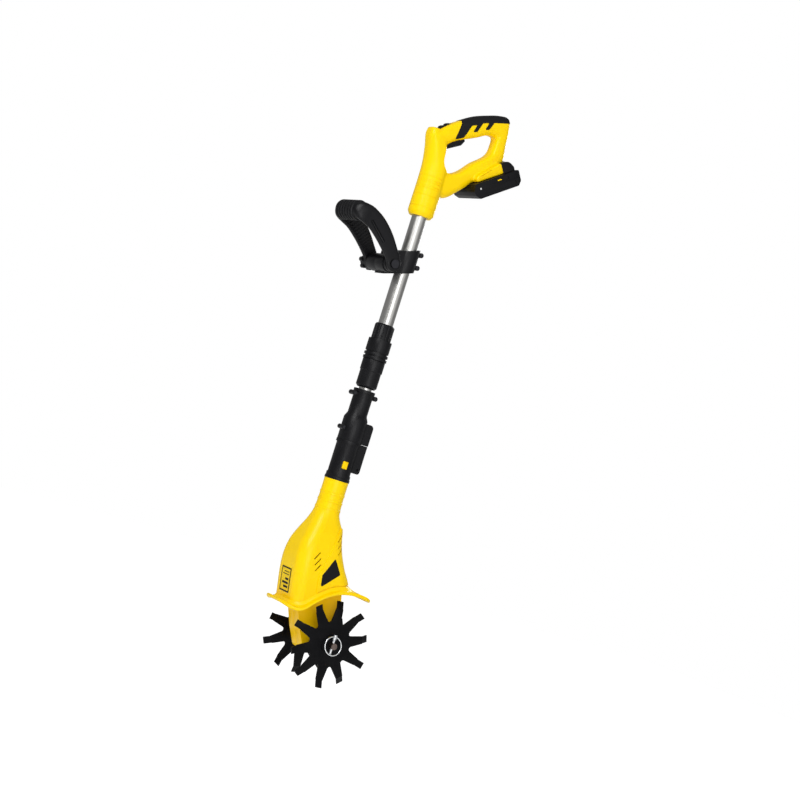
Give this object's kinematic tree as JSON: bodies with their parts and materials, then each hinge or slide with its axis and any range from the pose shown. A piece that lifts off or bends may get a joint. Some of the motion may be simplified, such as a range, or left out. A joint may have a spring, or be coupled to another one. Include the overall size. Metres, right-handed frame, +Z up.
{
  "type": "cordless garden tiller",
  "caption": "Battery garden tiller: D-handle, telescopic pole with a front loop handle, quick coupler and a geared head that turns two star-shaped tine wheels.",
  "frame": {"origin": "middle of the tine axle, halfway between the two tine wheels", "axes": "+Z up along the pole from the tines to the D-handle, -X to the front (the side of the front handle), +X to the user and the battery, -Y the left side, +Y along the axle to the right"},
  "size_m": [0.3205, 0.142, 1.1113],
  "materials": {
    "yellow_abs": "glossy moulded ABS",
    "yellow_case": "moulded ABS, satin",
    "black_nylon": "fine textured glass-filled nylon",
    "black_gloss": "moulded black ABS",
    "soft_grip": "overmoulded soft grip",
    "tube_aluminium": "satin anodised",
    "tine_steel": "black powder coat",
    "shaft_steel": "turned steel",
    "zinc_wire": "bright zinc plate",
    "screw_steel": "black oxide steel",
    "gear_steel": "machined steel",
    "bronze_bush": "sintered bronze",
    "lead_pvc": "PVC sheath",
    "cell_wrap": "shrink sleeve",
    "label_film": "printed film",
    "switch_plastic": "moulded switch body"
  },
  "bodies": {
    "handle": {"handle_shell_left": "yellow_abs", "handle_shell_right": "yellow_abs", "grip_pad": "soft_grip", "handle_screws": "screw_steel", "trigger_pin": "screw_steel", "trigger_switch": "switch_plastic", "battery_terminal_block": "switch_plastic", "upper_tube": "tube_aluminium", "lock_body": "black_nylon", "lock_collet": "black_nylon", "coiled_lead": "lead_pvc"},
    "trigger": {"trigger": "black_gloss"},
    "lock_off": {"lock_off_button": "black_gloss"},
    "battery": {"battery_lower_case": "black_gloss", "battery_upper_case": "black_gloss", "battery_cells": "cell_wrap"},
    "battery_latch": {"battery_latch": "black_gloss"},
    "aux_clamp": {"clamp_left": "black_nylon", "clamp_right": "black_nylon", "clamp_screws": "screw_steel", "pivot_bolt": "screw_steel"},
    "aux_handle": {"aux_loop": "black_nylon"},
    "knob": {"star_knob": "black_nylon"},
    "lock_sleeve": {"lock_twist_sleeve": "black_nylon"},
    "lower_pole": {"lower_tube": "tube_aluminium", "tube_end_bush": "black_nylon", "coupler_shell_left": "black_nylon", "coupler_shell_right": "black_nylon", "coupler_screws": "screw_steel", "connector_plug": "black_nylon"},
    "head": {"socket_shell_left": "black_nylon", "socket_shell_right": "black_nylon", "connector_socket": "black_nylon", "neck_ring": "black_nylon", "head_shell_left": "yellow_abs", "head_shell_right": "yellow_abs", "head_screws": "screw_steel", "guard": "yellow_abs", "side_plate_left": "black_gloss", "side_plate_right": "black_gloss", "label_plate": "label_film", "gear_case_left": "yellow_case", "gear_case_right": "yellow_case", "shaft_bushes": "bronze_bush", "idler_pin": "gear_steel", "motor_can": "gear_steel", "button_spring": "screw_steel"},
    "button": {"release_button": "yellow_abs"},
    "motor": {"motor_shaft": "gear_steel"},
    "layshaft": {"layshaft_gear": "gear_steel"},
    "idler": {"idler_gear": "gear_steel"},
    "tines": {"tine_shaft": "shaft_steel", "final_gear": "gear_steel", "tine_wheel_left": "tine_steel", "tine_wheel_right": "tine_steel", "linch_pins": "zinc_wire"},
    "ring_left": {"linch_ring_left": "zinc_wire"},
    "ring_right": {"linch_ring_right": "zinc_wire"}
  },
  "joints": [
    {"name": "trigger_pull", "type": "hinge", "parent": "handle", "child": "trigger", "pos_m": [-0.044, 0, 0.958], "axis": [0, -1, 0], "range_deg": [0, 8], "stiffness_Nm_per_rad": 0.6, "springref_deg": -11.46},
    {"name": "lock_off_slide", "type": "slide", "parent": "handle", "child": "lock_off", "axis": [0.7716, 0, 0.6361], "range_m": [0, 0.005], "stiffness_N_per_m": 400, "springref_m": -0.002},
    {"name": "battery_slide", "type": "slide", "parent": "handle", "child": "battery", "axis": [0.809, 0, 0.5878], "range_m": [0, 0.1]},
    {"name": "battery_latch_press", "type": "slide", "parent": "battery", "child": "battery_latch", "axis": [0.5878, 0, -0.809], "range_m": [0, 0.003], "stiffness_N_per_m": 800, "springref_m": -0.001},
    {"name": "clamp_slide", "type": "slide", "parent": "handle", "child": "aux_clamp", "axis": [0, 0, 1], "range_m": [-0.075, 0.045]},
    {"name": "front_handle_tilt", "type": "hinge", "parent": "aux_clamp", "child": "aux_handle", "pos_m": [-0.105, 0, 0.691], "axis": [0, 1, 0], "range_deg": [-70, 40]},
    {"name": "knob_turn", "type": "hinge", "parent": "aux_clamp", "child": "knob", "pos_m": [-0.105, 0, 0.691], "axis": [0, 1, 0], "range_deg": [-180, 180]},
    {"name": "sleeve_twist", "type": "hinge", "parent": "handle", "child": "lock_sleeve", "pos_m": [-0.059, 0, 0.49], "axis": [0, 0, 1], "range_deg": [0, 90]},
    {"name": "pole_extend", "type": "slide", "parent": "handle", "child": "lower_pole", "axis": [0, 0, -1], "range_m": [0, 0.2], "deforming": ["coiled_lead"]},
    {"name": "head_release", "type": "slide", "parent": "lower_pole", "child": "head", "axis": [0, 0, -1], "range_m": [0, 0.06]},
    {"name": "button_press", "type": "slide", "parent": "head", "child": "button", "axis": [0, 1, 0], "range_m": [0, 0.003], "stiffness_N_per_m": 500, "springref_m": -0.001},
    {"name": "tine_spin", "type": "hinge", "parent": "head", "child": "tines", "pos_m": [0, 0, 0], "axis": [0, 1, 0], "continuous": true},
    {"name": "idler_spin", "type": "hinge", "parent": "head", "child": "idler", "pos_m": [-0.0183, 0, 0.04111], "axis": [0, 1, 0], "continuous": true},
    {"name": "layshaft_spin", "type": "hinge", "parent": "head", "child": "layshaft", "pos_m": [-0.03356, 0, 0.07537], "axis": [0, 1, 0], "continuous": true},
    {"name": "motor_spin", "type": "hinge", "parent": "head", "child": "motor", "pos_m": [-0.059, 0, 0.16], "axis": [0, 0, 1], "continuous": true},
    {"name": "ring_left_flip", "type": "hinge", "parent": "tines", "child": "ring_left", "pos_m": [0, -0.0635, 0.017], "axis": [-1, 0, 0], "range_deg": [0, 140]},
    {"name": "ring_right_flip", "type": "hinge", "parent": "tines", "child": "ring_right", "pos_m": [0, 0.0635, 0.017], "axis": [1, 0, 0], "range_deg": [0, 140]}
  ],
  "couplings": [
    {"joint": "idler_spin", "follows": "tine_spin", "ratio": -0.71429},
    {"joint": "layshaft_spin", "follows": "tine_spin", "ratio": 1.6667},
    {"joint": "motor_spin", "follows": "tine_spin", "ratio": 25}
  ]
}
